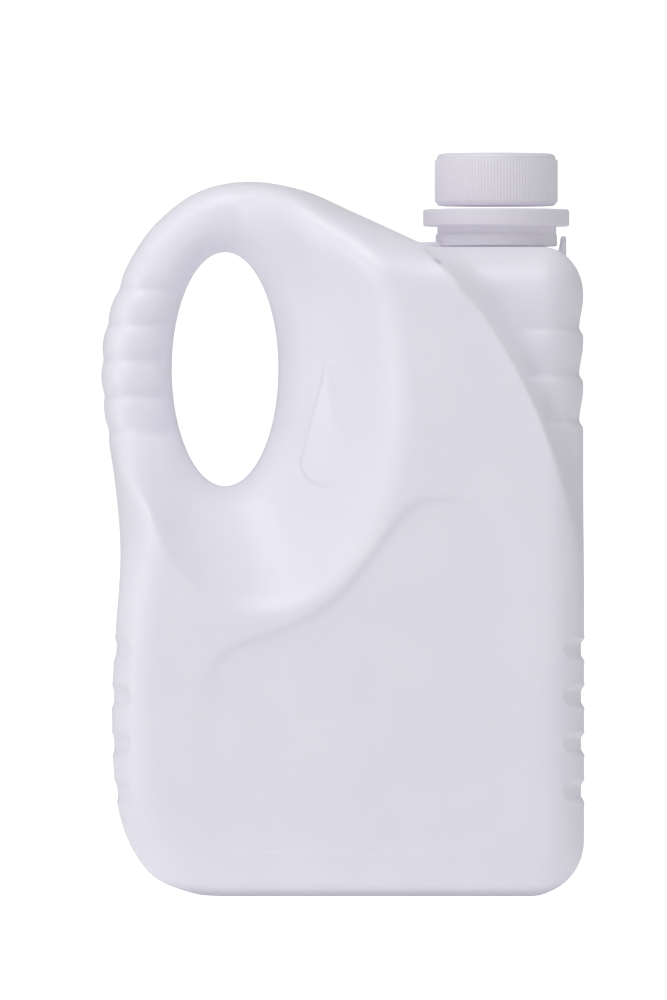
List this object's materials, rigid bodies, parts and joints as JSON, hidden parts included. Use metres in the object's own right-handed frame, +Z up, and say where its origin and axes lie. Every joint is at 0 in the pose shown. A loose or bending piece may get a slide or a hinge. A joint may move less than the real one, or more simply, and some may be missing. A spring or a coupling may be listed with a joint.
{
  "type": "plastic jerrycan with side handle",
  "caption": "Upright milky blow-moulded plastic can with a side loop handle, offset neck, tamper ring and ribbed screw cap.",
  "frame": {"origin": "middle of the bounding box at the base, on the surface the can stands on", "axes": "+Z up, +X along the broad face from the handle towards the neck, +Y through the can's thickness"},
  "size_m": [0.1934, 0.134, 0.2972],
  "materials": {
    "milky_body": "milky translucent high-density polyethylene, blow moulded, satin skin with a soft shine",
    "white_cap": "white injection-moulded polyethylene, satin"
  },
  "bodies": {
    "root": {"can_body": "milky_body", "tamper_ring": "white_cap", "screw_cap": "white_cap"}
  },
  "joints": []
}
